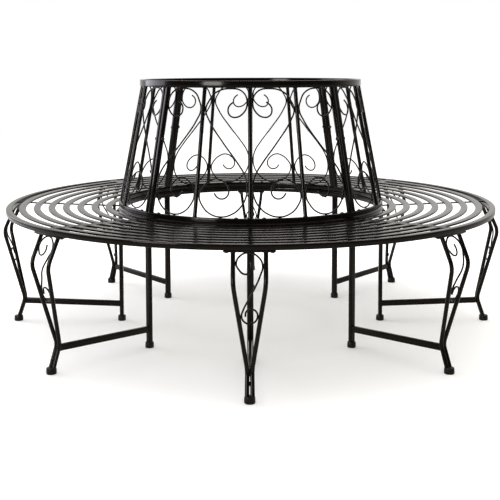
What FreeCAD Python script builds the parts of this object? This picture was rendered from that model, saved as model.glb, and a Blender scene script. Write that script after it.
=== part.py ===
import FreeCAD, Part
import math
import os

# Round garden bench that stands around a tree trunk. Four bolted quarters of steel
# slat seat and scrolled backrest rest on eight welded leg frames.
# Millimetres, Z up, origin on the ground at the trunk's centre, front towards -Y.

# Overall shape
seat_outer_radius = 800.0
seat_height = 414.0
seat_fall = 12.5
overall_height = 820.0
back_base_radius = 441.0
back_top_radius = 366.5
quarter_count = 4
leg_count = 8
seam_gap = 1.0

# Seat stock
rim_width = 19.0
rim_depth = 15.5
rim_wall = 1.2
rim_corner = 1.5
slat_count = 7
slat_width = 22.0
slat_thickness = 5.0
slat_wall = 1.0
slat_edge_room = 21.5
square_stock = 12.7
square_wall = 1.0
stay_diameter = 5.0
slat_stay_gap = 0.05

# Backrest stock
base_rail_depth = 19.0
top_rail_depth = 21.0
rail_wall = 1.2
rail_corner = 2.0
post_diameter = 12.0
post_wall = 1.0
scroll_wire = 4.5
seam_bolt_height = 642.0

# Leg stock
leg_tube_diameter = 12.0
leg_tube_wall = 1.0
inner_leg_across = 19.0
inner_leg_deep = 13.0
inner_leg_corner = 3.0
inner_leg_wall = 1.2
inner_leg_inset = 1.0
plate_thickness = 5.0
outer_plate_length = 134.0
outer_plate_width = 18.0
outer_plate_inset = 11.5
inner_plate_length = 100.0
inner_plate_width = 25.0
inner_plate_reach = 6.5
stretcher_inner_height = 58.0
stretcher_outer_height = 70.0

# Bent outer leg: how far its corners stand out from or in behind the plate, their half
# spread, and their height above the ground or drop below the plate
leg_top_spread = 42.0
shoulder_out = 36.0
shoulder_spread = 41.6
shoulder_drop = 79.0
shoulder_bend = 57.0
ankle_in = 20.5
ankle_spread = 6.4
ankle_height = 79.5
ankle_bend = 48.0
toe_out = 4.0
toe_spread = 7.4
toe_height = 8.0
leg_scroll_drop = 184.0

# Foot caps
outer_cap_diameter = 30.0
inner_cap_diameter = 27.0
cap_height = 18.0
cap_floor = 4.0
cap_edge = 2.0
cap_taper = 0.8

# Fasteners
bolt_diameter = 6.0
bolt_clearance = 0.6
bolt_head_diameter = 12.0
bolt_head_height = 3.5
nut_across_flats = 10.0
nut_height = 5.0
bolt_end = 2.0
rim_bolt_spacing = 118.0
rim_bolt_reach = 12.0
base_bolt_spacing = 82.0

# Derived levels and radii
quarter_turn = 360.0 / quarter_count
leg_turn = 360.0 / leg_count
rim_inner_radius = seat_outer_radius - rim_width
rim_bottom = seat_height - rim_depth
inner_rim_top = seat_height - seat_fall
inner_rim_bottom = inner_rim_top - rim_depth
seat_slope = seat_fall / (rim_inner_radius - back_base_radius)
base_rail_top = inner_rim_top + base_rail_depth
top_rail_bottom = overall_height - top_rail_depth
post_base_radius = back_base_radius - square_stock / 2.0
post_top_radius = back_top_radius - square_stock / 2.0
outer_plate_radius = seat_outer_radius - outer_plate_inset
outer_plate_bottom = rim_bottom - plate_thickness
inner_plate_outer_radius = back_base_radius + inner_plate_reach
inner_plate_bottom = inner_rim_bottom - plate_thickness
inner_leg_radius = back_base_radius - inner_leg_inset
shoulder_radius = outer_plate_radius + shoulder_out
shoulder_height = outer_plate_bottom - shoulder_drop
ankle_radius = outer_plate_radius - ankle_in
toe_radius = outer_plate_radius + toe_out
hole_diameter = bolt_diameter + bolt_clearance

# How far shapes run past the place where they are cut: length, turn and share of length
cut_overrun = 1.0
turn_overrun = 1.0
post_overrun = 0.05

# Shape of one back scroll, from the curl under the top rail to the curl above the base
# rail: share of the room between the two posts and of the room between the two rails
back_scroll_points = [
    (0.330, 0.895), (0.432, 0.864), (0.460, 0.824), (0.404, 0.786), (0.274, 0.774),
    (0.104, 0.804), (0.003, 0.875), (0.102, 0.972), (0.432, 1.000), (0.784, 0.968),
    (0.931, 0.905), (1.000, 0.834), (0.895, 0.745), (0.545, 0.573), (0.198, 0.411),
    (0.053, 0.323), (0.000, 0.232), (0.027, 0.156), (0.133, 0.080), (0.322, 0.020),
    (0.544, 0.000), (0.755, 0.022), (0.911, 0.077), (1.000, 0.161), (0.924, 0.233),
    (0.790, 0.277), (0.647, 0.293), (0.467, 0.262), (0.385, 0.201), (0.433, 0.153),
    (0.533, 0.138), (0.623, 0.151), (0.689, 0.181),
]

# Shape of one leg scroll, from its upper curl to its lower one: share of the room on one
# side between the leg's middle and its tube, and share of the scroll's own height
leg_scroll_points = [
    (0.080, 0.882), (0.155, 0.800), (-0.060, 0.735), (-0.410, 0.725), (-0.800, 0.780),
    (-1.000, 0.862), (-0.660, 0.966), (0.000, 1.000), (0.660, 0.946), (1.000, 0.834),
    (0.820, 0.707), (0.390, 0.531), (-0.195, 0.338), (-0.660, 0.217), (-1.000, 0.107),
    (-0.675, 0.025), (0.000, 0.000), (0.725, 0.030), (1.000, 0.107), (0.830, 0.173),
    (0.430, 0.217), (-0.040, 0.223), (-0.400, 0.180), (-0.520, 0.112),
]

leg_names = ["front", "front_left", "left", "back_left", "back", "back_right", "right", "front_right"]
quarter_names = ["front", "left", "back", "right"]
axis = FreeCAD.Vector(0, 0, 1)
centre = FreeCAD.Vector(0, 0, 0)


def spot(radius, aside, height):
    """Point at a distance from the centre towards the front, moved aside to +X."""
    return FreeCAD.Vector(aside, -radius, height)


def turned(shape, angle):
    """Copy turned clockwise from the front, seen from above."""
    copy = shape.copy()
    copy.rotate(centre, axis, -angle)
    return copy


def polygon_face(points):
    return Part.Face(Part.makePolygon(points + [points[0]]))


def block(low_radius, high_radius, half_width, low, high):
    """Straight box in front of the centre, symmetric about the front line."""
    corner = FreeCAD.Vector(-half_width, -high_radius, low)
    return Part.makeBox(2.0 * half_width, high_radius - low_radius, high - low, corner)


def rounded_outline(place, width, height, corner):
    """Closed rounded rectangle; place maps its two coordinates to a point."""
    x = width / 2.0
    y = height / 2.0
    if corner <= 0.0:
        return Part.makePolygon([place(-x, -y), place(x, -y), place(x, y), place(-x, y), place(-x, -y)])
    diagonal = corner * (1.0 - math.sqrt(0.5))
    turns = [
        ((x - corner, -y), (x - diagonal, -y + diagonal), (x, -y + corner)),
        ((x, y - corner), (x - diagonal, y - diagonal), (x - corner, y)),
        ((-x + corner, y), (-x + diagonal, y - diagonal), (-x, y - corner)),
        ((-x, -y + corner), (-x + diagonal, -y + diagonal), (-x + corner, -y)),
    ]
    edges = []
    for number, (start, middle, end) in enumerate(turns):
        edges.append(Part.makeLine(place(*turns[number - 1][2]), place(*start)))
        edges.append(Part.Arc(place(*start), place(*middle), place(*end)).toShape())
    return Part.Wire(edges)


def tube_face(place, width, height, corner, wall):
    """Section of a rectangular tube."""
    outside = rounded_outline(place, width, height, corner)
    inside = rounded_outline(place, width - 2.0 * wall, height - 2.0 * wall, max(corner - wall, 0.0))
    return Part.makeFace([outside, inside], "Part::FaceMakerBullseye")


def quarter_wedge(inset):
    """Tall wedge of one quarter whose two sides lie inset from the seams."""
    reach = 2.0 * seat_outer_radius
    tip = inset * math.sqrt(2.0)
    low = -cut_overrun
    face = polygon_face([spot(tip, 0, low), spot(tip + reach, reach, low), spot(tip + reach, -reach, low)])
    return face.extrude(FreeCAD.Vector(0, 0, overall_height + 2.0 * cut_overrun))


def quarter_ring(section):
    """Section in the plane of the +X axis swept a little past the front quarter."""
    start = section.copy()
    start.rotate(centre, axis, -90.0 - quarter_turn / 2.0 - turn_overrun)
    return start.revolve(centre, axis, quarter_turn + 2.0 * turn_overrun)


def curved_tube(mid_radius, mid_height, width, height, corner, wall, inset, slope=0.0):
    """Quarter of a rectangular tube ring, its section tipped by the slope."""
    tip = math.atan(slope)

    def place(across, up):
        along = across * math.cos(tip) - up * math.sin(tip)
        rise = across * math.sin(tip) + up * math.cos(tip)
        return FreeCAD.Vector(mid_radius + along, 0, mid_height + rise)

    ring = quarter_ring(tube_face(place, width, height, corner, wall))
    return ring.common(quarter_wedge(inset))


def upright_hole(radius, aside, low, high):
    return Part.makeCylinder(hole_diameter / 2.0, high - low, spot(radius, aside, low))


def chord_radius(radius, aside):
    """Distance along the front line of a point on a circle moved aside."""
    return math.sqrt(radius ** 2 - aside ** 2)


rim_bolt_aside = rim_bolt_spacing / 2.0
base_bolt_aside = base_bolt_spacing / 2.0
base_bolt_radius = chord_radius(post_base_radius, base_bolt_aside)


def paired_holes(radius, aside, low, high):
    """Bolt holes of the three leg frames that reach into the front quarter."""
    holes = []
    for turn in (-leg_turn, 0.0, leg_turn):
        for side in (-aside, aside):
            holes.append(turned(upright_hole(radius, side, low, high), turn))
    return holes


def seat_level(radius):
    """Height of the seat surface, which falls towards the backrest."""
    return seat_height - seat_slope * (rim_inner_radius - radius)


def outer_rim():
    rim = curved_tube(seat_outer_radius - rim_width / 2.0, seat_height - rim_depth / 2.0,
                      rim_width, rim_depth, rim_corner, rim_wall, seam_gap / 2.0)
    holes = paired_holes(outer_plate_radius, rim_bolt_aside, rim_bottom - cut_overrun,
                         rim_bottom + rim_depth / 2.0)
    return rim.cut(holes)


def inner_rim():
    rim = curved_tube(back_base_radius - rim_width / 2.0, inner_rim_top - rim_depth / 2.0,
                      rim_width, rim_depth, rim_corner, rim_wall, seam_gap / 2.0)
    holes = paired_holes(base_bolt_radius, base_bolt_aside, inner_rim_bottom - cut_overrun,
                         inner_rim_top + cut_overrun)
    return rim.cut(holes)


def slats():
    slat_first_radius = rim_inner_radius - slat_edge_room - slat_width / 2.0
    slat_last_radius = back_base_radius + slat_edge_room + slat_width / 2.0
    step = (slat_first_radius - slat_last_radius) / (slat_count - 1)
    pieces = []
    for number in range(slat_count):
        radius = slat_first_radius - number * step
        level = seat_level(radius) - slat_thickness / 2.0
        pieces.append(curved_tube(radius, level, slat_width, slat_thickness, 0.0, slat_wall,
                                  seam_gap / 2.0 + square_stock, seat_slope))
    return Part.Compound(pieces)


def between_rims(shape):
    """Part of a shape between the facing sides of the two rims."""
    outside = Part.makeCylinder(rim_inner_radius, 2.0 * seat_height, FreeCAD.Vector(0, 0, 0))
    inside = Part.makeCylinder(back_base_radius, 2.0 * seat_height, FreeCAD.Vector(0, 0, 0))
    return shape.common(outside).cut(inside)


def seat_rib(side):
    """Square tube beside one seam, its top level with the slats."""
    low_radius = back_base_radius - square_stock
    high_radius = rim_inner_radius + square_stock
    aside = side * (seam_gap + square_stock) / 2.0

    def tube(inset):
        half = square_stock / 2.0 - inset
        corners = [
            spot(low_radius, aside - half, seat_level(low_radius) - inset),
            spot(high_radius, aside - half, seat_level(high_radius) - inset),
            spot(high_radius, aside - half, seat_level(high_radius) - square_stock + inset),
            spot(low_radius, aside - half, seat_level(low_radius) - square_stock + inset),
        ]
        return polygon_face(corners).extrude(FreeCAD.Vector(2.0 * half, 0, 0))

    return between_rims(tube(0.0).cut(tube(square_wall)))


def slat_stay():
    """Thin round rod that crosses under the middle of the slats."""
    below = slat_thickness + stay_diameter / 2.0 + slat_stay_gap
    start = spot(back_base_radius - stay_diameter, 0, seat_level(back_base_radius - stay_diameter) - below)
    end = spot(rim_inner_radius + stay_diameter, 0, seat_level(rim_inner_radius + stay_diameter) - below)
    rod = Part.makeCylinder(stay_diameter / 2.0, (end - start).Length, start, end - start)
    return between_rims(rod)


def seat_ribs():
    left = turned(seat_rib(1), quarter_turn / 2.0)
    right = turned(seat_rib(-1), -quarter_turn / 2.0)
    return Part.Compound([left, right, slat_stay()])


def base_rail():
    rail = curved_tube(post_base_radius, inner_rim_top + base_rail_depth / 2.0,
                       square_stock, base_rail_depth, rail_corner, rail_wall, seam_gap / 2.0)
    holes = paired_holes(base_bolt_radius, base_bolt_aside, inner_rim_top - cut_overrun,
                         base_rail_top + cut_overrun)
    return rail.cut(holes)


def top_rail():
    return curved_tube(post_top_radius, top_rail_bottom + top_rail_depth / 2.0,
                       square_stock, top_rail_depth, rail_corner, rail_wall, seam_gap / 2.0)


def post_end(place, rise):
    """Centre of a post: place 0 is mid quarter, 2 beside the seam, 1 halfway between."""
    height = base_rail_top + rise * (top_rail_bottom - base_rail_top)
    radius = post_base_radius + rise * (post_top_radius - post_base_radius)
    beside = (seam_gap + square_stock) / 2.0
    seam_angle = math.radians(quarter_turn / 2.0)
    if abs(place) == 2:
        across = radius * math.sin(seam_angle) - beside * math.cos(seam_angle)
        ahead = radius * math.cos(seam_angle) + beside * math.sin(seam_angle)
    else:
        angle = abs(place) * (seam_angle - math.atan(beside / radius)) / 2.0
        across = radius * math.sin(angle)
        ahead = radius * math.cos(angle)
    if place < 0:
        across = -across
    return FreeCAD.Vector(across, -ahead, height)


def post_spot(place, rise):
    """Point on a post's straight axis at a share of its height."""
    bottom = post_end(place, 0.0)
    return bottom + (post_end(place, 1.0) - bottom) * rise


def round_post(place):
    bottom = post_end(place, 0.0)
    lean = post_end(place, 1.0) - bottom
    start = bottom - lean * post_overrun
    length = lean.Length * (1.0 + 2.0 * post_overrun)
    outer = Part.makeCylinder(post_diameter / 2.0, length, start, lean)
    inner = Part.makeCylinder(post_diameter / 2.0 - post_wall, length, start, lean)
    band = block(-seat_outer_radius, seat_outer_radius, seat_outer_radius, base_rail_top, top_rail_bottom)
    return outer.cut(inner).common(band)


def seam_post(side):
    """Square post on one side of a seam, with a hole for the seam bolt."""
    aside = side * (seam_gap + square_stock) / 2.0
    half = square_stock / 2.0

    def tube(inset):
        width = half - inset
        corners = [
            spot(post_base_radius - width, aside - width, base_rail_top),
            spot(post_base_radius + width, aside - width, base_rail_top),
            spot(post_top_radius + width, aside - width, top_rail_bottom),
            spot(post_top_radius - width, aside - width, top_rail_bottom),
        ]
        return polygon_face(corners).extrude(FreeCAD.Vector(2.0 * width, 0, 0))

    hole = Part.makeCylinder(hole_diameter / 2.0, 4.0 * square_stock,
                             spot(seam_bolt_radius(), -2.0 * square_stock, seam_bolt_height),
                             FreeCAD.Vector(1, 0, 0))
    return tube(0.0).cut([tube(square_wall), hole])


def seam_bolt_radius():
    rise = (seam_bolt_height - base_rail_top) / (top_rail_bottom - base_rail_top)
    return post_base_radius + rise * (post_top_radius - post_base_radius)


def back_posts():
    pieces = [round_post(place) for place in (-1, 0, 1)]
    pieces.append(turned(seam_post(1), quarter_turn / 2.0))
    pieces.append(turned(seam_post(-1), -quarter_turn / 2.0))
    return Part.Compound(pieces)


def bent_wire(points, diameter):
    """Round wire that follows a smooth curve through the points."""
    curve = Part.BSplineCurve()
    curve.interpolate(points)
    path = Part.Wire(curve.toShape())
    start_direction = curve.tangent(curve.FirstParameter)[0]
    ring = Part.Wire(Part.makeCircle(diameter / 2.0, points[0], start_direction))
    return path.makePipeShell([ring], True, False)


def post_reach(place):
    """Distance across a bay from a post's axis to a wire that touches the post."""
    if abs(place) == 2:
        return (square_stock + scroll_wire) / 2.0 / math.cos(math.radians(quarter_turn / 8.0))
    return (post_diameter + scroll_wire) / 2.0


def bay_wire(near, far):
    """Scroll in the bay between two posts, its curls beside the near one."""
    full_rise = top_rail_bottom - base_rail_top
    points = []
    for across, rise in back_scroll_points:
        share = (scroll_wire / 2.0 + rise * (full_rise - scroll_wire)) / full_rise
        start = post_spot(near, share)
        bay = post_spot(far, share) - start
        reach = post_reach(near) + across * (bay.Length - post_reach(near) - post_reach(far))
        points.append(start + bay * (reach / bay.Length))
    return bent_wire(points, scroll_wire)


def back_scrolls():
    """Four scrolls, each the mirror image of its neighbours."""
    return Part.Compound([bay_wire(-2, -1), bay_wire(0, -1), bay_wire(0, 1), bay_wire(2, 1)])


def leg_corners(side):
    return [
        spot(outer_plate_radius, side * leg_top_spread, outer_plate_bottom),
        spot(shoulder_radius, side * shoulder_spread, shoulder_height),
        spot(ankle_radius, side * ankle_spread, ankle_height),
        spot(toe_radius, side * toe_spread, toe_height),
    ]


def bent_path(corners, bends, overrun):
    """Line and arc path through corners, lengthened past both ends."""
    first = corners[0] + (corners[0] - corners[1]).normalize() * overrun
    last = corners[-1] + (corners[-1] - corners[-2]).normalize() * overrun
    edges = []
    start = first
    for number, bend in enumerate(bends):
        corner = corners[number + 1]
        before = (corner - corners[number]).normalize()
        after = (corners[number + 2] - corner).normalize()
        angle = before.getAngle(after)
        run = bend * math.tan(angle / 2.0)
        arc_start = corner - before * run
        arc_end = corner + after * run
        inward = (after - before).normalize()
        apex = corner + inward * (bend / math.cos(angle / 2.0) - bend)
        edges.append(Part.makeLine(start, arc_start))
        edges.append(Part.Arc(arc_start, apex, arc_end).toShape())
        start = arc_end
    edges.append(Part.makeLine(start, last))
    return Part.Wire(edges)


def leg_tube(side, diameter):
    """Solid bar along one bent leg tube, cut level at the plate and in the cap."""
    corners = leg_corners(side)
    path = bent_path(corners, [shoulder_bend, ankle_bend], 2.0 * leg_tube_diameter)
    start = path.Edges[0].firstVertex().Point
    heading = corners[1] - corners[0]
    ring = Part.Wire(Part.makeCircle(diameter / 2.0, start, heading))
    bar = path.makePipeShell([ring], True, False)
    return bar.common(block(0.0, 1.2 * seat_outer_radius, outer_plate_length, cap_floor, outer_plate_bottom))


def leg_bars():
    return [leg_tube(side, leg_tube_diameter) for side in (-1, 1)]


def outer_leg(bars):
    """Two bent tubes under the plate that is bolted to the rim."""
    pieces = []
    for side, bar in zip((-1, 1), bars):
        pieces.append(bar.cut(leg_tube(side, leg_tube_diameter - 2.0 * leg_tube_wall)))
    half_width = outer_plate_width / 2.0
    plate = block(outer_plate_radius - half_width, outer_plate_radius + half_width,
                  outer_plate_length / 2.0, outer_plate_bottom, rim_bottom)
    for side in (-rim_bolt_aside, rim_bolt_aside):
        plate = plate.cut(upright_hole(outer_plate_radius, side, outer_plate_bottom - cut_overrun,
                                       rim_bottom + cut_overrun))
    pieces.append(plate)
    return Part.Compound(pieces)


def inner_leg_section(inset):
    def place(across, deep):
        return spot(inner_leg_radius + deep, across, cap_floor)

    return rounded_outline(place, inner_leg_across - 2.0 * inset, inner_leg_deep - 2.0 * inset,
                           inner_leg_corner - inset)


def inner_leg_bar():
    length = inner_plate_bottom - cap_floor
    return Part.Face(inner_leg_section(0.0)).extrude(FreeCAD.Vector(0, 0, length))


def stretcher(bars):
    """Tube from the inner leg to the outer pair, shaped to fit round both."""
    start_radius = inner_leg_radius
    run = ankle_radius - start_radius
    low = stretcher_inner_height
    rise = stretcher_outer_height - low

    def place(across, up):
        return spot(start_radius, across, low + up)

    section = tube_face(place, inner_leg_deep, inner_leg_across, inner_leg_corner, inner_leg_wall)
    tube = section.extrude(FreeCAD.Vector(0, -run, rise))
    tube = tube.cut([inner_leg_bar()] + bars)
    return max(tube.Solids, key=lambda solid: solid.Volume)


def inner_leg(bars):
    """Upright with its bolted plate and the stretcher to the outer leg."""
    length = inner_plate_bottom - cap_floor
    bore = Part.Face(inner_leg_section(inner_leg_wall)).extrude(FreeCAD.Vector(0, 0, length))
    upright = inner_leg_bar().cut(bore)
    plate = block(inner_plate_outer_radius - inner_plate_width, inner_plate_outer_radius,
                  inner_plate_length / 2.0, inner_plate_bottom, inner_rim_bottom)
    for side in (-base_bolt_aside, base_bolt_aside):
        plate = plate.cut(upright_hole(base_bolt_radius, side, inner_plate_bottom - cut_overrun,
                                       inner_rim_bottom + cut_overrun))
    return Part.Compound([upright, plate, stretcher(bars)])


def beside_leg(share, height):
    """Point between the two bent tubes, at a share of the room from their middle."""
    top, shoulder, ankle, toe = leg_corners(1)
    if height > shoulder_height:
        high, low = top, shoulder
    else:
        high, low = shoulder, ankle
    run = high - low
    on_tube = low + run * ((height - low.z) / run.z)
    slant = run.Length / math.hypot(run.y, run.z)
    room = on_tube.x - (leg_tube_diameter + scroll_wire) / 2.0 * slant
    return FreeCAD.Vector(share * room, on_tube.y, height)


def leg_scroll():
    """Wire that curls between the bent tubes and touches both of them and the plate."""
    top = outer_plate_bottom - scroll_wire / 2.0
    bottom = outer_plate_bottom - leg_scroll_drop
    points = [beside_leg(share, bottom + rise * (top - bottom)) for share, rise in leg_scroll_points]
    return bent_wire(points, scroll_wire)


def cap_body(radius, diameter):
    """Round foot with a softened base and a slight taper to its top."""
    half = diameter / 2.0
    outline = [
        FreeCAD.Vector(0, 0, 0),
        FreeCAD.Vector(half - cap_edge, 0, 0),
        FreeCAD.Vector(half, 0, cap_edge),
        FreeCAD.Vector(half, 0, cap_height / 2.0),
        FreeCAD.Vector(half - cap_taper, 0, cap_height - cap_edge / 2.0),
        FreeCAD.Vector(half - cap_taper - cap_edge / 2.0, 0, cap_height),
        FreeCAD.Vector(0, 0, cap_height),
    ]
    body = polygon_face(outline).revolve(centre, axis, 360.0)
    body.translate(spot(radius, 0, 0))
    return body


def foot_caps(bars):
    outer = cap_body(toe_radius, outer_cap_diameter).cut(bars)
    inner = cap_body(inner_leg_radius, inner_cap_diameter).cut(inner_leg_bar())
    pieces = []
    for number in range(leg_count):
        pieces.append(turned(outer, number * leg_turn))
        pieces.append(turned(inner, number * leg_turn))
    return Part.Compound(pieces)


def domed_head(diameter, height):
    """Flat-bottomed bolt head with a round top, standing on the origin."""
    half = diameter / 2.0
    ball = (half ** 2 + height ** 2) / (2.0 * height)
    dome = Part.makeSphere(ball, FreeCAD.Vector(0, 0, height - ball))
    return dome.common(Part.makeCylinder(half, height))


def hexagon(across_flats, height):
    """Hexagonal prism that stands on the origin."""
    reach = across_flats / math.sqrt(3.0)
    corners = []
    for number in range(6):
        angle = math.radians(60.0 * number)
        corners.append(FreeCAD.Vector(reach * math.cos(angle), reach * math.sin(angle), 0))
    return polygon_face(corners).extrude(FreeCAD.Vector(0, 0, height))


def rim_bolts():
    """Screws that come up through the outer plates into the rim."""
    head = domed_head(bolt_head_diameter, bolt_head_height)
    head.rotate(centre, FreeCAD.Vector(1, 0, 0), 180.0)
    length = plate_thickness + rim_bolt_reach
    bolt = head.fuse(Part.makeCylinder(bolt_diameter / 2.0, length)).removeSplitter()
    pieces = []
    for number in range(leg_count):
        for side in (-rim_bolt_aside, rim_bolt_aside):
            copy = bolt.copy()
            copy.translate(spot(outer_plate_radius, side, outer_plate_bottom))
            pieces.append(turned(copy, number * leg_turn))
    return Part.Compound(pieces)


def base_bolts():
    """Bolts through base rail, inner rim and inner plate, each with its nut."""
    grip = base_rail_top - inner_plate_bottom
    shank = grip + nut_height + bolt_end
    rod = Part.makeCylinder(bolt_diameter / 2.0, shank, FreeCAD.Vector(0, 0, -shank))
    bolt = domed_head(bolt_head_diameter, bolt_head_height).fuse(rod).removeSplitter()
    nut = hexagon(nut_across_flats, nut_height)
    nut.translate(FreeCAD.Vector(0, 0, -grip - nut_height))
    nut = nut.cut(rod)
    pieces = []
    for number in range(leg_count):
        for side in (-base_bolt_aside, base_bolt_aside):
            for piece in (bolt, nut):
                copy = piece.copy()
                copy.translate(spot(base_bolt_radius, side, base_rail_top))
                pieces.append(turned(copy, number * leg_turn))
    return Part.Compound(pieces)


def seam_bolts():
    """Bolts that clamp the paired square posts of neighbouring quarters."""
    half_grip = seam_gap / 2.0 + square_stock
    shank = 2.0 * half_grip + nut_height + bolt_end
    rod = Part.makeCylinder(bolt_diameter / 2.0, shank, FreeCAD.Vector(0, 0, half_grip - shank))
    head = hexagon(nut_across_flats, bolt_head_height)
    head.translate(FreeCAD.Vector(0, 0, half_grip))
    bolt = head.fuse(rod).removeSplitter()
    nut = hexagon(nut_across_flats, nut_height)
    nut.translate(FreeCAD.Vector(0, 0, -half_grip - nut_height))
    nut = nut.cut(rod)
    pieces = []
    for number in range(quarter_count):
        for piece in (bolt, nut):
            copy = piece.copy()
            copy.rotate(centre, FreeCAD.Vector(0, 1, 0), 90.0)
            copy.translate(spot(seam_bolt_radius(), 0, seam_bolt_height))
            pieces.append(turned(copy, leg_turn + number * quarter_turn))
    return Part.Compound(pieces)


def save(shape, node):
    shape.exportStep("parts/" + node + ".step")


def save_quarters():
    """Every piece of the front quarter, turned to all four quarters."""
    makers = {
        "seat_outer_rim": outer_rim(),
        "seat_inner_rim": inner_rim(),
        "seat_slats": slats(),
        "seat_ribs": seat_ribs(),
        "back_base_rail": base_rail(),
        "back_top_rail": top_rail(),
        "back_posts": back_posts(),
        "back_scrolls": back_scrolls(),
    }
    for label, shape in makers.items():
        for number, quarter in enumerate(quarter_names):
            save(turned(shape, number * quarter_turn), label + "_" + quarter)


def save_legs():
    """One leg frame, turned to all eight places."""
    bars = leg_bars()
    frames = {
        "leg_outer": outer_leg(bars),
        "leg_inner": inner_leg(bars),
        "leg_scroll": leg_scroll(),
    }
    for label, shape in frames.items():
        for number, name in enumerate(leg_names):
            save(turned(shape, number * leg_turn), label + "_" + name)
    save(foot_caps(bars), "foot_caps")


os.makedirs("parts", exist_ok=True)
save_quarters()
save_legs()
save(rim_bolts(), "rim_bolts")
save(base_bolts(), "base_bolts")
save(seam_bolts(), "seam_bolts")
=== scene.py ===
import math

import bmesh
import bpy
from mathutils import Matrix, Vector


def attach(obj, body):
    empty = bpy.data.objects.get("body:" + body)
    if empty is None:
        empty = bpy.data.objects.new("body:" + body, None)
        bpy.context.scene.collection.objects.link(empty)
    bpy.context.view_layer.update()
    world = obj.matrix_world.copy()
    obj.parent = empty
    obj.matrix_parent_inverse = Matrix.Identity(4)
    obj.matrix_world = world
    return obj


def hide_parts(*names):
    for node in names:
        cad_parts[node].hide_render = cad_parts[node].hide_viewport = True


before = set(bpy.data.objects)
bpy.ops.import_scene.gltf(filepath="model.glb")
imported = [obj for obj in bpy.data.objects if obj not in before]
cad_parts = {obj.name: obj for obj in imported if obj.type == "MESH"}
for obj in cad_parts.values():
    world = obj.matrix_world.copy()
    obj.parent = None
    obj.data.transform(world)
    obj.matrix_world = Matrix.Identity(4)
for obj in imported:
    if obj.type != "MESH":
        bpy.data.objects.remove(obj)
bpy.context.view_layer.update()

# Round garden bench for a tree trunk, in metres. Every piece of the front quarter and of
# the front leg is shaped once and then turned to its other places.

# Overall shape
seat_radius = 0.800
seat_height = 0.414
seat_fall = 0.0125
overall_height = 0.820
back_base_radius = 0.441
back_top_radius = 0.3665
seam_gap = 0.001

# Rims, slats and ribs
rim_width = 0.019
rim_depth = 0.0155
rim_corner = 0.0018
slat_count = 7
slat_width = 0.022
slat_thickness = 0.005
slat_corner = 0.0009
slat_edge_room = 0.0215
square_stock = 0.0127
square_corner = 0.0014
stay_diameter = 0.005

# Backrest
base_rail_depth = 0.019
top_rail_depth = 0.021
rail_corner = 0.002
post_diameter = 0.012
scroll_wire = 0.0045
wire_coat = 0.0002
seam_bolt_height = 0.642

# Legs
leg_tube_diameter = 0.012
leg_top_aside = 0.042
shoulder_radius = 0.8245
shoulder_aside = 0.0416
shoulder_height = 0.3145
shoulder_bend = 0.057
ankle_radius = 0.768
ankle_aside = 0.0064
ankle_height = 0.0795
ankle_bend = 0.048
toe_radius = 0.7925
toe_aside = 0.0074
toe_height = 0.008
inner_leg_across = 0.019
inner_leg_deep = 0.013
inner_leg_corner = 0.003
inner_leg_radius = 0.440
plate_thickness = 0.005
plate_edge = 0.0008
outer_plate_length = 0.134
outer_plate_width = 0.018
outer_plate_radius = 0.7885
inner_plate_length = 0.100
inner_plate_low = 0.4225
inner_plate_high = 0.4475
stretcher_inner_height = 0.058
stretcher_outer_height = 0.070
leg_scroll_drop = 0.184

# Foot caps
outer_cap_diameter = 0.030
inner_cap_diameter = 0.027
cap_height = 0.018
cap_floor = 0.005

# Cap outline: how far inside the widest radius, and how far above the ground or below the top
cap_from_ground = [
    (0.0030, 0), (0.0014, 0.0003), (0.0004, 0.0012), (0, 0.0026),
    (0, 0.0058), (0.0006, 0.0064), (0.0006, 0.0072), (0.0001, 0.0078),
]
cap_from_top = [(0.0006, 0.0026), (0.0011, 0.0009), (0.0024, 0)]

# Bolts and nuts
head_diameter = 0.012
head_height = 0.0035
head_rim = 0.0006
head_dome_angle = 70.2
key_hole_radius = 0.0022
key_hole_foot_radius = 0.0020
key_hole_depth = 0.0016
key_hole_tip_depth = 0.0019
nut_flats = 0.010
nut_height = 0.005
nut_corner = 0.0004
bolt_diameter = 0.006
bolt_end = 0.002
rim_bolt_aside = 0.059
base_bolt_aside = 0.041

# Welds
weld_swell = 0.22
weld_ripples = 9
weld_taper = 0.45
weld_pitch = 0.0022
weld_lift = 0.0002
weld_short = 0.001
slat_bead = 0.0026
slat_bead_short = 0.002
rib_bead = 0.0024
rib_bead_drop = 0.0005
stay_bead = 0.0022
post_bead = 0.0026
seam_post_bead = 0.0024
leg_bead = 0.0030
slanted_cut = 1.04
stretcher_bead = 0.0032
stretcher_bead_reach = 0.009
stretcher_bead_inward = 0.004
stretcher_bead_aside = 0.0070
wire_spot = 0.0017
back_spot_reach = 0.0055
leg_spot_reach = 0.005
spot_off_wire = 0.45
crown_spot_off_wire = 0.35
spot_swell = 0.10
tube_spot = 0.0024
tube_spot_reach = 0.006

# Where the two tubes of a leg touch: height, and how far outside the ankle
tube_spots = [(0.045, 0.008), (0.115, 0.004)]

# Levels and radii that follow
rim_inner_radius = seat_radius - rim_width
rim_bottom = seat_height - rim_depth
inner_rim_top = seat_height - seat_fall
inner_rim_bottom = inner_rim_top - rim_depth
seat_slope = seat_fall / (rim_inner_radius - back_base_radius)
base_rail_top = inner_rim_top + base_rail_depth
top_rail_bottom = overall_height - top_rail_depth
post_base_radius = back_base_radius - square_stock / 2
post_top_radius = back_top_radius - square_stock / 2
outer_plate_bottom = rim_bottom - plate_thickness
inner_plate_bottom = inner_rim_bottom - plate_thickness
base_bolt_radius = math.sqrt(post_base_radius ** 2 - base_bolt_aside ** 2)
seam_aside = (seam_gap + square_stock) / 2
seam_face = seam_gap / 2 + square_stock

# How far an end runs on inside the piece that it meets
hidden = 0.001

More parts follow.
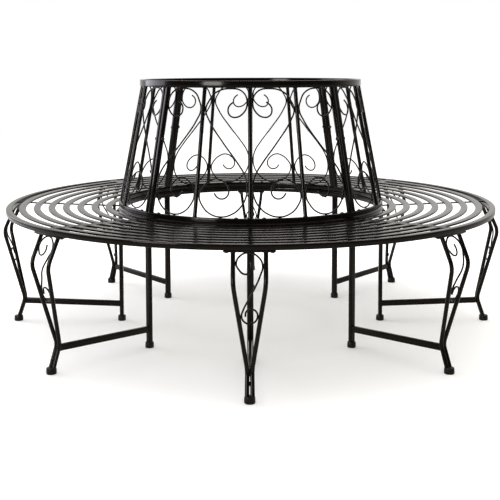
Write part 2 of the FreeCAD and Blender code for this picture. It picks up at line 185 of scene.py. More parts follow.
# Corners of a bent leg tube from its plate down to its cap: radius, aside, height
leg_corners = [
    (outer_plate_radius, leg_top_aside, outer_plate_bottom),
    (shoulder_radius, shoulder_aside, shoulder_height),
    (ankle_radius, ankle_aside, ankle_height),
    (toe_radius, toe_aside, toe_height),
]
leg_bends = [shoulder_bend, ankle_bend]

# Scroll shapes, as in the CAD model: shares of the room across and of the height
back_scroll_points = [
    (0.330, 0.895), (0.432, 0.864), (0.460, 0.824), (0.404, 0.786), (0.274, 0.774),
    (0.104, 0.804), (0.003, 0.875), (0.102, 0.972), (0.432, 1.000), (0.784, 0.968),
    (0.931, 0.905), (1.000, 0.834), (0.895, 0.745), (0.545, 0.573), (0.198, 0.411),
    (0.053, 0.323), (0.000, 0.232), (0.027, 0.156), (0.133, 0.080), (0.322, 0.020),
    (0.544, 0.000), (0.755, 0.022), (0.911, 0.077), (1.000, 0.161), (0.924, 0.233),
    (0.790, 0.277), (0.647, 0.293), (0.467, 0.262), (0.385, 0.201), (0.433, 0.153),
    (0.533, 0.138), (0.623, 0.151), (0.689, 0.181),
]
leg_scroll_points = [
    (0.080, 0.882), (0.155, 0.800), (-0.060, 0.735), (-0.410, 0.725), (-0.800, 0.780),
    (-1.000, 0.862), (-0.660, 0.966), (0.000, 1.000), (0.660, 0.946), (1.000, 0.834),
    (0.820, 0.707), (0.390, 0.531), (-0.195, 0.338), (-0.660, 0.217), (-1.000, 0.107),
    (-0.675, 0.025), (0.000, 0.000), (0.725, 0.030), (1.000, 0.107), (0.830, 0.173),
    (0.430, 0.217), (-0.040, 0.223), (-0.400, 0.180), (-0.520, 0.112),
]

# Where a scroll touches: across, rise and, in the back, on which side of it the spot lies
back_side_touches = [(0.0, 0.875, -1), (0.0, 0.232, -1), (1.0, 0.834, 1), (1.0, 0.161, 1)]
back_rail_touches = [(0.432, 1.0, 1), (0.544, 0.0, -1)]
leg_side_touches = [(-1.0, 0.862), (1.0, 0.834), (-1.0, 0.107), (1.0, 0.107)]

# Places round the bench, in degrees clockwise from the front
quarter_turns = {"front": 0, "left": 90, "back": 180, "right": 270}
leg_turns = {"front": 0, "front_left": 45, "left": 90, "back_left": 135,
             "back": 180, "back_right": 225, "right": 270, "front_right": 315}

up = Vector((0, 0, 1))
down = Vector((0, 0, -1))
to_front = Vector((0, -1, 0))
to_back = Vector((0, 1, 0))
to_right = Vector((1, 0, 0))
to_left = Vector((-1, 0, 0))


# Finishes

def add_node(tree, kind, **sockets):
    node = tree.nodes.new(kind)
    for label, value in sockets.items():
        node.inputs[label].default_value = value
    return node


def noise(tree, place, scale, detail, roughness=0.5):
    grain = add_node(tree, "ShaderNodeTexNoise", Scale=scale, Detail=detail, Roughness=roughness)
    tree.links.new(place.outputs["Object"], grain.inputs["Vector"])
    return grain.outputs["Fac"]


def spread(tree, value, taken, given):
    """Maps the range taken to the range given."""
    span = tree.nodes.new("ShaderNodeMapRange")
    span.inputs["From Min"].default_value = taken[0]
    span.inputs["From Max"].default_value = taken[1]
    span.inputs["To Min"].default_value = given[0]
    span.inputs["To Max"].default_value = given[1]
    tree.links.new(value, span.inputs["Value"])
    return span.outputs["Result"]


def product(tree, first, second):
    times = tree.nodes.new("ShaderNodeMath")
    times.operation = "MULTIPLY"
    tree.links.new(first, times.inputs[0])
    tree.links.new(second, times.inputs[1])
    return times.outputs["Value"]


def two_tones(tree, value, dark, light, dark_up_to=0.35, light_from=0.68):
    ramp = tree.nodes.new("ShaderNodeValToRGB")
    ramp.color_ramp.elements[0].position = dark_up_to
    ramp.color_ramp.elements[0].color = (*dark, 1)
    ramp.color_ramp.elements[1].position = light_from
    ramp.color_ramp.elements[1].color = (*light, 1)
    tree.links.new(value, ramp.inputs["Fac"])
    return ramp.outputs["Color"]


def laid_over(tree, share, under, over):
    """Lays a plain colour over another by a share that varies."""
    layers = tree.nodes.new("ShaderNodeMix")
    layers.data_type = "RGBA"
    layers.inputs["B"].default_value = (*over, 1)
    tree.links.new(share, layers.inputs["Factor"])
    tree.links.new(under, layers.inputs["A"])
    return layers.outputs["Result"]


def sharp_edges(tree, taken, most):
    """Share that grows from none on flat faces to the most on sharp edges."""
    corners = tree.nodes.new("ShaderNodeNewGeometry")
    return spread(tree, corners.outputs["Pointiness"], taken, (0.0, most))


def bumped(tree, heights):
    """Surface normal after several heights, each with its strength and distance."""
    normal = None
    for height, strength, distance in heights:
        bump = add_node(tree, "ShaderNodeBump", Strength=strength, Distance=distance)
        tree.links.new(height, bump.inputs["Height"])
        if normal:
            tree.links.new(normal, bump.inputs["Normal"])
        normal = bump.outputs["Normal"]
    return normal


def blank_material(name):
    material = bpy.data.materials.new(name)
    material.use_nodes = True
    tree = material.node_tree
    tree.nodes.clear()
    output = tree.nodes.new("ShaderNodeOutputMaterial")
    place = tree.nodes.new("ShaderNodeTexCoord")
    return material, tree, output, place


def finished_surface(tree, output, specular, colour, roughness, normal):
    surface = add_node(tree, "ShaderNodeBsdfPrincipled")
    surface.inputs["Specular IOR Level"].default_value = specular
    tree.links.new(colour, surface.inputs["Base Color"])
    tree.links.new(roughness, surface.inputs["Roughness"])
    tree.links.new(normal, surface.inputs["Normal"])
    tree.links.new(surface.outputs["BSDF"], output.inputs["Surface"])
    return surface


def powder_coat():
    """Satin black coat with a fine grain, slow swells and thinner cover on the edges."""
    material, tree, output, place = blank_material("black_powder_coat")
    mottle = noise(tree, place, scale=38, detail=4)
    tone = two_tones(tree, mottle, (0.0034, 0.0026, 0.0021), (0.0062, 0.0049, 0.0041))
    thin = sharp_edges(tree, (0.53, 0.62), 0.55)
    worn = laid_over(tree, thin, tone, (0.008, 0.007, 0.0065))
    swells = noise(tree, place, scale=14, detail=3)
    sheen = spread(tree, swells, (0.3, 0.7), (0.10, 0.17))
    normal = bumped(tree, [
        (noise(tree, place, scale=260, detail=2), 0.10, 0.0002),
        (noise(tree, place, scale=1500, detail=2), 0.14, 0.00006),
    ])
    surface = finished_surface(tree, output, 0.17, worn, sheen, normal)
    surface.inputs["Specular Tint"].default_value = (1.0, 0.86, 0.76, 1)
    return material


def cap_plastic():
    """Moulded black plastic with a soft sheen and scuffs near the ground."""
    material, tree, output, place = blank_material("black_cap_plastic")
    height = tree.nodes.new("ShaderNodeSeparateXYZ")
    tree.links.new(place.outputs["Object"], height.inputs["Vector"])
    low = spread(tree, height.outputs["Z"], (0.0, 0.006), (1.0, 0.0))
    scuffs = product(tree, low, noise(tree, place, scale=420, detail=5, roughness=0.7))
    mottle = noise(tree, place, scale=90, detail=3)
    tone = two_tones(tree, mottle, (0.0034, 0.0031, 0.0029), (0.0058, 0.0053, 0.0050))
    dusty = laid_over(tree, scuffs, tone, (0.030, 0.028, 0.026))
    sheen = spread(tree, noise(tree, place, scale=60, detail=3), (0.3, 0.7), (0.24, 0.38))
    normal = bumped(tree, [(noise(tree, place, scale=1100, detail=3), 0.35, 0.0001)])
    finished_surface(tree, output, 0.24, dusty, sheen, normal)
    return material


def bolt_coat():
    """Black-coated steel that is rubbed on its corners."""
    material, tree, output, place = blank_material("black_bolt_coat")
    mottle = noise(tree, place, scale=300, detail=4)
    tone = two_tones(tree, mottle, (0.0050, 0.0048, 0.0047), (0.0120, 0.0112, 0.0108))
    rubbed = sharp_edges(tree, (0.52, 0.62), 0.8)
    bare = laid_over(tree, rubbed, tone, (0.060, 0.056, 0.052))
    sheen = spread(tree, noise(tree, place, scale=500, detail=3), (0.3, 0.7), (0.22, 0.36))
    normal = bumped(tree, [(noise(tree, place, scale=900, detail=2), 0.2, 0.00008)])
    finished_surface(tree, output, 0.5, bare, sheen, normal)
    return material


coat = powder_coat()
plastic = cap_plastic()
bolt_finish = bolt_coat()


# Shaping

merge_distance = 0.000001


def spot(radius, aside, height):
    """Point in front of the trunk, at a radius, so far to the right of the middle."""
    return Vector((aside, -radius, height))


def turned(angle):
    """Turn clockwise from the front, seen from above."""
    return Matrix.Rotation(math.radians(-angle), 4, "Z")


def aimed(centre, along):
    """Place that puts the origin at the centre and the Z axis along a direction."""
    return Matrix.Translation(centre) @ along.to_track_quat("Z", "Y").to_matrix().to_4x4()


def merge_into(target, part, matrix=None):
    """Adds a finished part to a piece and frees it."""
    bmesh.ops.remove_doubles(part, verts=part.verts, dist=merge_distance)
    bmesh.ops.recalc_face_normals(part, faces=part.faces)
    if matrix:
        bmesh.ops.transform(part, matrix=matrix, verts=part.verts)
    carrier = bpy.data.meshes.new("carrier")
    part.to_mesh(carrier)
    part.free()
    target.from_mesh(carrier)
    bpy.data.meshes.remove(carrier)


def close_ends(part):
    open_edges = [edge for edge in part.edges if edge.is_boundary]
    bmesh.ops.holes_fill(part, edges=open_edges, sides=0)


def trim(part, point, outward):
    """Cuts off what lies beyond a plane and closes the cut."""
    geometry = part.verts[:] + part.edges[:] + part.faces[:]
    bmesh.ops.bisect_plane(part, geom=geometry, dist=merge_distance, plane_co=point,
                           plane_no=outward, clear_outer=True)
    close_ends(part)


def curved_bar(target, radius, height, width, depth, corner,
               inset=seam_gap / 2, slope=0.0, steps=48):
    """Rounded bar that follows the front quarter's circle, cut off short of both seams."""
    part = bmesh.new()
    bmesh.ops.create_grid(part, x_segments=1, y_segments=1, size=0.5)
    bmesh.ops.scale(part, vec=(width, depth, 1), verts=part.verts)
    bmesh.ops.bevel(part, geom=part.verts[:], offset=corner, segments=3, profile=0.5,
                    affect="VERTICES", material=-1)
    bmesh.ops.delete(part, geom=part.faces[:], context="FACES_ONLY")
    past_seam = 1
    upright = Matrix.Rotation(math.radians(90), 4, "X")
    tipped = Matrix.Rotation(-math.atan(slope), 4, "Y")
    start = turned(135 + past_seam) @ Matrix.Translation((radius, 0, height)) @ tipped @ upright
    bmesh.ops.transform(part, matrix=start, verts=part.verts)
    bmesh.ops.spin(part, geom=part.verts[:] + part.edges[:], cent=(0, 0, 0), axis=(0, 0, 1),
                   angle=math.radians(90 + 2 * past_seam), steps=steps, use_duplicate=False)
    for side in (-1, 1):
        outward = Vector((side, 1, 0)).normalized()
        trim(part, outward * -inset, outward)
    merge_into(target, part)


def straight_bar(target, start, end, across, depth, corner, facing, segments=2):
    """Rounded bar from start to end; facing is the direction of its depth."""
    run = end - start
    part = bmesh.new()
    bmesh.ops.create_cube(part, size=1.0)
    bmesh.ops.scale(part, vec=(across, depth, run.length), verts=part.verts)
    bmesh.ops.bevel(part, geom=part.edges[:], offset=corner, segments=segments, profile=0.5,
                    affect="EDGES", material=-1)
    along = run.normalized()
    side = facing.cross(along).normalized()
    front = along.cross(side)
    axes = Matrix((side, front, along)).transposed().to_4x4()
    merge_into(target, part, Matrix.Translation((start + end) / 2) @ axes)


def round_bar(target, start, end, diameter, sides=24):
    run = end - start
    radius = diameter / 2
    part = bmesh.new()
    bmesh.ops.create_cone(part, cap_ends=True, segments=sides, radius1=radius, radius2=radius,
                          depth=run.length)
    merge_into(target, part, aimed((start + end) / 2, run))


def rod(points, diameter, rounded=True, ring=False, sizes=None, sides=12, steps=6):
    """Round rod through points as a closed part; sizes swell it from point to point."""
    line = bpy.data.curves.new("line", "CURVE")
    line.dimensions = "3D"
    line.bevel_depth = diameter / 2
    line.bevel_resolution = sides // 2 - 2
    line.resolution_u = steps
    line.use_fill_caps = True
    spline = line.splines.new("BEZIER" if rounded else "POLY")
    knots = spline.bezier_points if rounded else spline.points
    knots.add(len(points) - 1)
    for number, point in enumerate(points):
        knot = knots[number]
        knot.co = point if rounded else (*point, 1)
        if rounded:
            knot.handle_left_type = "AUTO"
            knot.handle_right_type = "AUTO"
        if sizes:
            knot.radius = sizes[number % len(sizes)]
    spline.use_cyclic_u = ring
    holder = bpy.data.objects.new("line", line)
    mesh = bpy.data.meshes.new_from_object(holder)
    part = bmesh.new()
    part.from_mesh(mesh)
    bpy.data.objects.remove(holder)
    bpy.data.curves.remove(line)
    bpy.data.meshes.remove(mesh)
    bmesh.ops.remove_doubles(part, verts=part.verts, dist=merge_distance)
    close_ends(part)
    return part


def lathe(target, profile, centre, along=up, steps=32):
    """Closed round body from (radius, height) points that start and end on its axis."""
    part = bmesh.new()
    corners = [part.verts.new((radius, 0, height)) for radius, height in profile]
    for first, second in zip(corners, corners[1:]):
        part.edges.new((first, second))
    bmesh.ops.spin(part, geom=part.verts[:] + part.edges[:], cent=(0, 0, 0), axis=(0, 0, 1),
                   angle=math.radians(360), steps=steps, use_merge=True, use_duplicate=False)
    merge_into(target, part, aimed(centre, along))


# Welds

def weld_sizes(seed):
    """Uneven swells of a weld bead, the same on every run."""
    return [1.0 + weld_swell * math.sin(2.4 * number + seed) for number in range(weld_ripples)]


def weld_round(target, centre, along, diameter, bead, seed):
    """Bead where a round bar meets a flat face."""
    turn = along.to_track_quat("Z", "Y").to_matrix()
    radius = diameter / 2 + weld_lift
    count = 14
    points = []
    for number in range(count):
        angle = math.radians(360 / count * number)
        points.append(centre + turn @ Vector((math.cos(angle), math.sin(angle), 0)) * radius)
    merge_into(target, rod(points, bead, ring=True, sizes=weld_sizes(seed), sides=6, steps=2))


def weld_line(target, start, end, bead, seed):
    """Straight bead with tapered ends."""
    count = max(4, int((end - start).length / weld_pitch))
    points = [start.lerp(end, number / count) for number in range(count + 1)]
    swells = weld_sizes(seed)
    sizes = [swells[number % weld_ripples] for number in range(count + 1)]
    sizes[0] = weld_taper
    sizes[-1] = weld_taper
    merge_into(target, rod(points, bead, sizes=sizes, sides=6, steps=2))


def weld_square(target, centre, side, front, across, depth, bead, seed):
    """Beads round the foot of a square bar; side and front point along its faces."""
    corners = [centre + side * (across / 2 * right) + front * (depth / 2 * forward)
               for right, forward in ((-1, -1), (1, -1), (1, 1), (-1, 1))]
    for number in range(4):
        weld_line(target, corners[number], corners[(number + 1) % 4], bead, seed + number)


def weld_spot(target, centre, size, stretch, seed):
    """Small lump where a wire or tube touches; stretch is half its length as a vector."""
    part = bmesh.new()
    bmesh.ops.create_icosphere(part, subdivisions=2, radius=1.0)
    for vertex in part.verts:
        wave = math.sin(5 * vertex.co.x + seed) * math.sin(4 * vertex.co.y + 2 * seed)
        vertex.co *= 1.0 + spot_swell * wave
    bmesh.ops.scale(part, vec=(size, size, stretch.length), verts=part.verts)
    merge_into(target, part, aimed(centre, stretch))


# Places on the bench

def seat_level(radius):
    return seat_height - seat_slope * (rim_inner_radius - radius)


def seam_place(radius, aside, height, side):
    """Point beside the seam on one side of the front quarter (1 right, -1 left)."""
    return turned(-45 * side) @ spot(radius, -side * aside, height)


def post_end(place, rise):
    """Centre of a post: place 0 is mid quarter, 2 beside the seam, 1 halfway between."""
    height = base_rail_top + rise * (top_rail_bottom - base_rail_top)
    radius = post_base_radius + rise * (post_top_radius - post_base_radius)
    if abs(place) == 2:
        return seam_place(radius, seam_aside, height, place // 2)
    angle = place * (math.radians(45) - math.atan(seam_aside / radius)) / 2
    return spot(radius * math.cos(angle), radius * math.sin(angle), height)


def post_spot(place, rise):
    """Point on a post's middle line, which is straight between its two ends."""
    return post_end(place, 0.0).lerp(post_end(place, 1.0), rise)


# Seat

def outer_rim():
    shape = bmesh.new()
    curved_bar(shape, seat_radius - rim_width / 2, seat_height - rim_depth / 2,
               rim_width, rim_depth, rim_corner, steps=72)
    return shape


def inner_rim():
    shape = bmesh.new()
    curved_bar(shape, back_base_radius - rim_width / 2, inner_rim_top - rim_depth / 2,
               rim_width, rim_depth, rim_corner)
    return shape


def slats():
    """Curved flat bars that reach the ribs, each with a bead under both its ends."""
    shape = bmesh.new()
    first_radius = rim_inner_radius - slat_edge_room - slat_width / 2
    last_radius = back_base_radius + slat_edge_room + slat_width / 2
    step = (first_radius - last_radius) / (slat_count - 1)
    reach = slat_width / 2 - slat_bead_short
    for number in range(slat_count):
        radius = first_radius - number * step
        curved_bar(shape, radius, seat_level(radius) - slat_thickness / 2,
                   slat_width, slat_thickness, slat_corner, seam_face, seat_slope, steps=64)
        low = seat_level(radius) - slat_thickness
        for side in (-1, 1):
            weld_line(shape, seam_place(radius - reach, seam_face, low, side),
                      seam_place(radius + reach, seam_face, low, side), slat_bead, number + side)
    return shape


def seat_ribs():
    """Square tubes beside both seams, and the thin stay under the middle of the slats."""
    shape = bmesh.new()
    inner_level = seat_level(back_base_radius)
    outer_level = seat_level(rim_inner_radius)
    middle = square_stock / 2
    for side in (-1, 1):
        start = seam_place(back_base_radius - hidden, seam_aside, inner_level - middle, side)
        end = seam_place(rim_inner_radius + hidden, seam_aside, outer_level - middle, side)
        straight_bar(shape, start, end, square_stock, square_stock, square_corner, up)
        for radius, seed in ((back_base_radius, 1.0), (rim_inner_radius, 2.0)):
            for drop in (rib_bead_drop, square_stock):
                level = seat_level(radius) - drop
                weld_line(shape, seam_place(radius, seam_gap / 2 + weld_short, level, side),
                          seam_place(radius, seam_face - weld_short, level, side), rib_bead, seed)
    below = slat_thickness + stay_diameter / 2
    start = spot(back_base_radius - hidden, 0, inner_level - below)
    end = spot(rim_inner_radius + hidden, 0, outer_level - below)
    round_bar(shape, start, end, stay_diameter, 12)
    for point in (start, end):
        weld_round(shape, point, to_back, stay_diameter, stay_bead, point.y)
    return shape


# Backrest

def base_rail():
    shape = bmesh.new()
    curved_bar(shape, post_base_radius, inner_rim_top + base_rail_depth / 2,
               square_stock, base_rail_depth, rail_corner)
    return shape


def top_rail():
    shape = bmesh.new()
    curved_bar(shape, post_top_radius, top_rail_bottom + top_rail_depth / 2,
               square_stock, top_rail_depth, rail_corner)
    return shape


def back_posts():
    """Three round posts, and a square one beside each seam."""
    shape = bmesh.new()
    for place in (-1, 0, 1):
        bottom = post_end(place, 0.0)
        lean = post_end(place, 1.0) - bottom
        extra = lean.normalized() * hidden * 1.5
        round_bar(shape, bottom - extra, bottom + lean + extra, post_diameter)
        for end, seed in ((bottom, 0.0), (bottom + lean, 2.0)):
            weld_round(shape, end, up, post_diameter, post_bead, seed + place)
    for side in (-1, 1):
        bottom = post_end(2 * side, 0.0)
        top = post_end(2 * side, 1.0)
        lean = (top - bottom).normalized()
        outward = seam_place(1.0, 0.0, 0.0, side).normalized()
        straight_bar(shape, bottom - lean * hidden * 3, top + lean * hidden * 3,
                     square_stock, square_stock * lean.z, square_corner, outward)
        across = up.cross(outward)
        for end, seed in ((bottom, 0.0), (top, 3.0)):
            weld_square(shape, end, across, outward, square_stock - weld_short, square_stock,
                        seam_post_bead, seed + side)
    return shape


def post_reach(place):
    """How far from a post's middle line the middle of a touching wire lies."""
    if abs(place) == 2:
        half_bay = math.radians(90 / 8)
        return (square_stock + scroll_wire) / 2 / math.cos(half_bay)
    return (post_diameter + scroll_wire) / 2


def bay_point(near, far, across, rise):
    """Point of a scroll between two posts, and the direction from near post to far."""
    full_rise = top_rail_bottom - base_rail_top
    share = (scroll_wire / 2 + rise * (full_rise - scroll_wire)) / full_rise
    start = post_spot(near, share)
    bay = post_spot(far, share) - start
    reach = post_reach(near) + across * (bay.length - post_reach(near) - post_reach(far))
    return start + bay * (reach / bay.length), bay.normalized()


def back_scrolls():
    """Four wires, mirrored from bay to bay, with weld spots where they touch."""
    shape = bmesh.new()
    off_wire = scroll_wire * spot_off_wire
    lean = (post_end(0, 1.0) - post_end(0, 0.0)).normalized()
    for near, far in ((-2, -1), (0, -1), (0, 1), (2, 1)):
        points = [bay_point(near, far, across, rise)[0] for across, rise in back_scroll_points]
        merge_into(shape, rod(points, scroll_wire + 2 * wire_coat))
        upright = (post_end(near, 1.0) - post_end(near, 0.0)).normalized()
        for across, rise, side in back_side_touches:
            point, bay = bay_point(near, far, across, rise)
            weld_spot(shape, point + bay * side * off_wire, wire_spot,
                      upright * back_spot_reach, near + rise * 9)
        for across, rise, side in back_rail_touches:
            point, bay = bay_point(near, far, across, rise)
            weld_spot(shape, point + lean * side * off_wire, wire_spot,
                      bay * back_spot_reach, near + rise * 5)
    return shape


# Legs

def rounded_path(corners, bends, overrun):
    """Points along straight runs joined by arcs, lengthened past both ends."""
    arc_steps = 10
    points = [corners[0] + (corners[0] - corners[1]).normalized() * overrun]
    for number, bend in enumerate(bends):
        corner = corners[number + 1]
        before = (corner - corners[number]).normalized()
        after = (corners[number + 2] - corner).normalized()
        angle = before.angle(after)
        run = bend * math.tan(angle / 2)
        middle = corner + (after - before).normalized() * (bend / math.cos(angle / 2))
        first = (corner - before * run - middle).normalized()
        last = (corner + after * run - middle).normalized()
        for step in range(arc_steps + 1):
            points.append(middle + first.slerp(last, step / arc_steps) * bend)
    points.append(corners[-1] + (corners[-1] - corners[-2]).normalized() * overrun)
    return points


def tube_corners(side):
    return [spot(radius, side * aside, height) for radius, aside, height in leg_corners]


def plate(target, low_radius, high_radius, length, low, high):
    middle = (low_radius + high_radius) / 2
    straight_bar(target, spot(middle, 0, low), spot(middle, 0, high), length,
                 high_radius - low_radius, plate_edge, to_front)


def outer_leg():
    """Two bent tubes, welded together at the ankle and to the plate under the rim."""
    shape = bmesh.new()
    for side in (-1, 1):
        corners = tube_corners(side)
        path = rounded_path(corners, leg_bends, overrun=0.02)
        tube = rod(path, leg_tube_diameter, rounded=False, sides=24)
        trim(tube, Vector((0, 0, outer_plate_bottom + hidden)), up)
        trim(tube, Vector((0, 0, cap_floor)), down)
        merge_into(shape, tube)
        weld_round(shape, corners[0], up, leg_tube_diameter * slanted_cut, leg_bead, side)
    for height, outside_ankle in tube_spots:
        point = spot(ankle_radius + outside_ankle, 0, height)
        weld_spot(shape, point, tube_spot, up * tube_spot_reach, height * 60)
    half_width = outer_plate_width / 2
    plate(shape, outer_plate_radius - half_width, outer_plate_radius + half_width,
          outer_plate_length, outer_plate_bottom, rim_bottom)
    return shape


def inner_leg():
    """Upright tube, its plate under the inner rim, and the stretcher to the bent tubes."""
    shape = bmesh.new()
    foot = spot(inner_leg_radius, 0, cap_floor)
    head = spot(inner_leg_radius, 0, inner_plate_bottom + hidden)
    straight_bar(shape, foot, head, inner_leg_across, inner_leg_deep, inner_leg_corner, to_front, 4)
    weld_square(shape, spot(inner_leg_radius, 0, inner_plate_bottom), to_right, to_front,
                inner_leg_across - 2 * weld_short, inner_leg_deep, leg_bead, 1.0)
    plate(shape, inner_plate_low, inner_plate_high, inner_plate_length,
          inner_plate_bottom, inner_rim_bottom)
    face_radius = inner_leg_radius + inner_leg_deep / 2
    slope = (stretcher_outer_height - stretcher_inner_height) / (ankle_radius - inner_leg_radius)
    start = spot(face_radius - hidden * 2, 0, stretcher_inner_height + slope * inner_leg_deep / 2)
    end = spot(ankle_radius - hidden, 0, stretcher_outer_height)
    straight_bar(shape, start, end, inner_leg_across, inner_leg_deep, inner_leg_corner, to_right, 4)
    weld_square(shape, spot(face_radius, 0, start.z), to_right, up,
                inner_leg_deep - weld_short, inner_leg_across - weld_short, leg_bead, 2.0)
    for side in (-1, 1):
        joint = spot(ankle_radius - stretcher_bead_inward, side * stretcher_bead_aside,
                     stretcher_outer_height)
        weld_line(shape, joint + down * stretcher_bead_reach, joint + up * stretcher_bead_reach,
                  stretcher_bead, side)
    return shape


def beside_leg(share, height):
    """Point between the two bent tubes, at a share of the room from their middle."""
    top, shoulder, ankle = tube_corners(1)[:3]
    high, low = (top, shoulder) if height > shoulder.z else (shoulder, ankle)
    run = high - low
    on_tube = low + run * ((height - low.z) / run.z)
    slant = run.length / math.hypot(run.y, run.z)
    room = on_tube.x - (leg_tube_diameter + scroll_wire) / 2 * slant
    return Vector((share * room, on_tube.y, height))


def scroll_spot(share, rise):
    top = outer_plate_bottom - scroll_wire / 2
    bottom = outer_plate_bottom - leg_scroll_drop
    return beside_leg(share, bottom + rise * (top - bottom))


def leg_scroll():
    """Wire between the bent tubes, with weld spots on the tubes and under the plate."""
    shape = bmesh.new()
    points = [scroll_spot(share, rise) for share, rise in leg_scroll_points]
    merge_into(shape, rod(points, scroll_wire + 2 * wire_coat))
    for share, rise in leg_side_touches:
        joint = scroll_spot(share, rise)
        joint.x += share * scroll_wire * spot_off_wire
        weld_spot(shape, joint, wire_spot, up * leg_spot_reach, share * 3)
    crown = scroll_spot(0, 1) + up * (scroll_wire * crown_spot_off_wire)
    weld_spot(shape, crown, wire_spot, to_right * leg_spot_reach, 1.0)
    return shape


# Feet and fasteners

def foot_caps():
    shape = bmesh.new()
    for angle in leg_turns.values():
        for radius, diameter in ((toe_radius, outer_cap_diameter),
                                 (inner_leg_radius, inner_cap_diameter)):
            half = diameter / 2
            profile = [(0, 0)]
            profile += [(half - inside, height) for inside, height in cap_from_ground]
            profile += [(half - inside, cap_height - below) for inside, below in cap_from_top]
            profile += [(0, cap_height)]
            cap = bmesh.new()
            lathe(cap, profile, spot(radius, 0, 0))
            merge_into(shape, cap, turned(angle))
    return shape


def round_head(target, centre, along):
    """Low domed head with a key hole."""
    half = head_diameter / 2
    dome_steps = 5
    profile = [(0, 0), (half, 0), (half, head_rim)]
    for step in range(1, dome_steps + 1):
        angle = math.radians(head_dome_angle * step / dome_steps)
        rise = (head_height - head_rim) * math.sin(angle)
        profile.append((half * math.cos(angle), head_rim + rise))
    profile += [
        (key_hole_radius, head_height),
        (key_hole_foot_radius, head_height - key_hole_depth),
        (0, head_height - key_hole_tip_depth),
    ]
    lathe(target, profile, centre, along, steps=18)


def six_sided(target, centre, along, height):
    """Hexagonal head or nut with softened corners."""
    radius = nut_flats / math.sqrt(3)
    part = bmesh.new()
    bmesh.ops.create_cone(part, cap_ends=True, segments=6, radius1=radius, radius2=radius,
                          depth=height)
    bmesh.ops.bevel(part, geom=part.edges[:], offset=nut_corner, segments=2, profile=0.5,
                    affect="EDGES", material=-1)
    merge_into(target, part, aimed(centre + along * height / 2, along))


def nut(target, centre, along):
    """Nut with the end of its bolt standing out of it."""
    six_sided(target, centre, along, nut_height)
    round_bar(target, centre, centre + along * (nut_height + bolt_end), bolt_diameter, 16)


def rim_bolts():
    shape = bmesh.new()
    for angle in leg_turns.values():
        for aside in (-rim_bolt_aside, rim_bolt_aside):
            bolt = bmesh.new()
            round_head(bolt, spot(outer_plate_radius, aside, outer_plate_bottom), down)
            merge_into(shape, bolt, turned(angle))
    return shape


def base_bolts():
    shape = bmesh.new()
    for angle in leg_turns.values():
        for aside in (-base_bolt_aside, base_bolt_aside):
            bolt = bmesh.new()
            round_head(bolt, spot(base_bolt_radius, aside, base_rail_top), up)
            nut(bolt, spot(base_bolt_radius, aside, inner_plate_bottom), down)
            merge_into(shape, bolt, turned(angle))
    return shape


def seam_bolts():
    shape = bmesh.new()
    rise = (seam_bolt_height - base_rail_top) / (top_rail_bottom - base_rail_top)
    radius = post_base_radius + rise * (post_top_radius - post_base_radius)
    for number in range(4):
        bolt = bmesh.new()
        six_sided(bolt, spot(radius, seam_face, seam_bolt_height), to_right, head_height)
        nut(bolt, spot(radius, -seam_face, seam_bolt_height), to_left)
        merge_into(shape, bolt, turned(45 + 90 * number))
    return shape


# Pieces

def place_piece(shape, name, node, finish, angle=0.0):
    """Makes an object of a copy of the shape, turned to its place, in place of its node."""
    mesh = bpy.data.meshes.new(name)
    for face in shape.faces:
        face.smooth = True
    smooth_below = math.radians(35)
    for edge in shape.edges:
        edge.smooth = not edge.is_manifold or edge.calc_face_angle(0.0) < smooth_below
    shape.to_mesh(mesh)
    mesh.transform(turned(angle))
    mesh.materials.append(finish)
    piece = bpy.data.objects.new(name, mesh)
    bpy.context.scene.collection.objects.link(piece)
    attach(piece, "root")
    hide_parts(node)


def place_frame(shapes, turns):
    """Places each steel shape once for every name in turns, and frees it."""
    for label, shape in shapes.items():
        for where, angle in turns.items():
            node = label + "_" + where
            place_piece(shape, "coated_" + node, node, coat, angle)
        shape.free()


quarter_shapes = {
    "seat_outer_rim": outer_rim(),
    "seat_inner_rim": inner_rim(),
    "seat_slats": slats(),
    "seat_ribs": seat_ribs(),
    "back_base_rail": base_rail(),
    "back_top_rail": top_rail(),
    "back_posts": back_posts(),
    "back_scrolls": back_scrolls(),
}
leg_shapes = {
    "leg_outer": outer_leg(),
    "leg_inner": inner_leg(),
    "leg_scroll": leg_scroll(),
}
place_frame(quarter_shapes, quarter_turns)
place_frame(leg_shapes, leg_turns)
place_piece(foot_caps(), "moulded_foot_caps", "foot_caps", plastic)
place_piece(rim_bolts(), "coated_rim_bolts", "rim_bolts", bolt_finish)
place_piece(base_bolts(), "coated_base_bolts", "base_bolts", bolt_finish)
place_piece(seam_bolts(), "coated_seam_bolts", "seam_bolts", bolt_finish)


# Studio

def pale_floor():
    """Pale floor with the bench's shadow, and a glow seen only by the camera that is painted
    stronger away from the bench, so that painted shade round the bench fades into white.
    """
    mesh = bpy.data.meshes.new("studio_floor")
    disc = bmesh.new()
    bmesh.ops.create_circle(disc, cap_ends=True, segments=96, radius=9.0)
    disc.to_mesh(mesh)
    disc.free()
    floor = bpy.data.objects.new("studio_floor", mesh)
    bpy.context.scene.collection.objects.link(floor)
    material, tree, output, place = blank_material("pale_floor")
    matt = add_node(tree, "ShaderNodeBsdfDiffuse", Color=(0.805, 0.785, 0.745, 1))
    glow = add_node(tree, "ShaderNodeEmission", Color=(1, 1, 1, 1))
    away = tree.nodes.new("ShaderNodeVectorMath")
    away.operation = "LENGTH"
    tree.links.new(place.outputs["Object"], away.inputs[0])
    # Painted light: the camera-only glow grows with distance from the bench, painting shade round
    # the bench and white farther out
    painted_light_by_distance = spread(tree, away.outputs["Value"], (0.25, 1.35), (0.06, 0.775))
    rays = tree.nodes.new("ShaderNodeLightPath")
    seen = product(tree, painted_light_by_distance, rays.outputs["Is Camera Ray"])
    tree.links.new(seen, glow.inputs["Strength"])
    both = tree.nodes.new("ShaderNodeAddShader")
    tree.links.new(matt.outputs["BSDF"], both.inputs[0])
    tree.links.new(glow.outputs["Emission"], both.inputs[1])
    tree.links.new(both.outputs["Shader"], output.inputs["Surface"])
    mesh.materials.append(material)


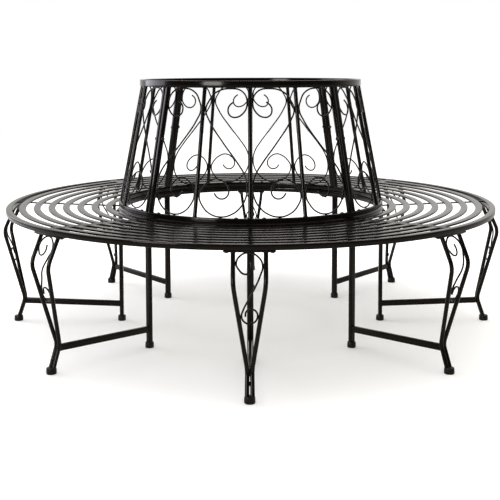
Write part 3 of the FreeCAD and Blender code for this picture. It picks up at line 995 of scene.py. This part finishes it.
def either(tree, share, without, with_share):
    """Mixes two shaders: the first where the share is 0, the second where it is 1."""
    mixed = tree.nodes.new("ShaderNodeMixShader")
    tree.links.new(share, mixed.inputs["Fac"])
    tree.links.new(without, mixed.inputs[1])
    tree.links.new(with_share, mixed.inputs[2])
    return mixed.outputs["Shader"]


def studio_air():
    """White all round for the camera; a white sweep beyond the bench in its gloss."""
    world = bpy.data.worlds.new("studio_air")
    bpy.context.scene.world = world
    world.use_nodes = True
    tree = world.node_tree
    tree.nodes.clear()
    output = tree.nodes.new("ShaderNodeOutputWorld")
    place = tree.nodes.new("ShaderNodeTexCoord")
    heading = tree.nodes.new("ShaderNodeSeparateXYZ")
    tree.links.new(place.outputs["Generated"], heading.inputs["Vector"])
    behind = spread(tree, heading.outputs["Y"], (-0.05, 0.60), (0.08, 1.0))
    to_one_side = spread(tree, heading.outputs["X"], (-0.05, 0.20), (0.88, 1.0))
    sweep = add_node(tree, "ShaderNodeBackground", Color=(1.0, 0.965, 0.925, 1))
    tree.links.new(product(tree, behind, to_one_side), sweep.inputs["Strength"])
    fill = add_node(tree, "ShaderNodeBackground", Color=(1, 1, 1, 1), Strength=0.62)
    white = add_node(tree, "ShaderNodeBackground", Color=(1, 1, 1, 1), Strength=1.0)
    rays = tree.nodes.new("ShaderNodeLightPath")
    unseen = either(tree, rays.outputs["Is Glossy Ray"], fill.outputs["Background"],
                    sweep.outputs["Background"])
    air = either(tree, rays.outputs["Is Camera Ray"], unseen, white.outputs["Background"])
    tree.links.new(air, output.inputs["Surface"])


def soft_box(name, place, aim, width, height, power, colour=(1, 1, 1)):
    lamp = bpy.data.lights.new(name, "AREA")
    lamp.shape = "RECTANGLE"
    lamp.size = width
    lamp.size_y = height
    lamp.energy = power
    lamp.color = colour
    holder = bpy.data.objects.new(name, lamp)
    holder.location = place
    holder.rotation_euler = (Vector(aim) - Vector(place)).to_track_quat("-Z", "Y").to_euler()
    bpy.context.scene.collection.objects.link(holder)
    return holder


def studio_lamps():
    """A wide lamp overhead, a cool one at the left, and a strip that only shows in gloss."""
    soft_box("overhead_softbox", place=(0, 0.2, 3.2), aim=(0, 0, 0),
             width=3.6, height=3.0, power=60)
    soft_box("left_softbox", place=(-3.1, 1.2, 1.3), aim=(0, 0, 0.6),
             width=2.4, height=1.8, power=62, colour=(0.84, 0.87, 1.0))
    front_strip = soft_box("front_strip", place=(-1.88, -2.59, 1.0), aim=(0, 0, 0.8),
                           width=1.0, height=1.0, power=60, colour=(0.84, 0.92, 1.0))
    front_strip.visible_diffuse = False


def camera():
    """Stands where the photo was taken from. The turn is in radians, the rest in degrees."""
    focal_pixels = 937.8
    frame_pixels = 500
    distance = 3.138
    eye_height = 0.8641
    turn = 0.0042
    downward = 5.0
    roll = -0.114
    lens = bpy.data.cameras.new("camera")
    lens.sensor_width = 36
    lens.lens = focal_pixels / frame_pixels * lens.sensor_width
    lens.shift_x = -0.0011
    lens.shift_y = -0.2043
    holder = bpy.data.objects.new("camera", lens)
    place = spot(distance * math.cos(turn), distance * math.sin(turn), eye_height)
    tipped = Matrix.Rotation(math.radians(90 - downward), 4, "X")
    rolled = Matrix.Rotation(math.radians(roll), 4, "Z")
    holder.matrix_world = Matrix.Translation(place) @ Matrix.Rotation(turn, 4, "Z") @ tipped @ rolled
    bpy.context.scene.collection.objects.link(holder)
    bpy.context.scene.camera = holder


pale_floor()
studio_air()
studio_lamps()
camera()
bpy.context.scene.view_settings.view_transform = "Standard"
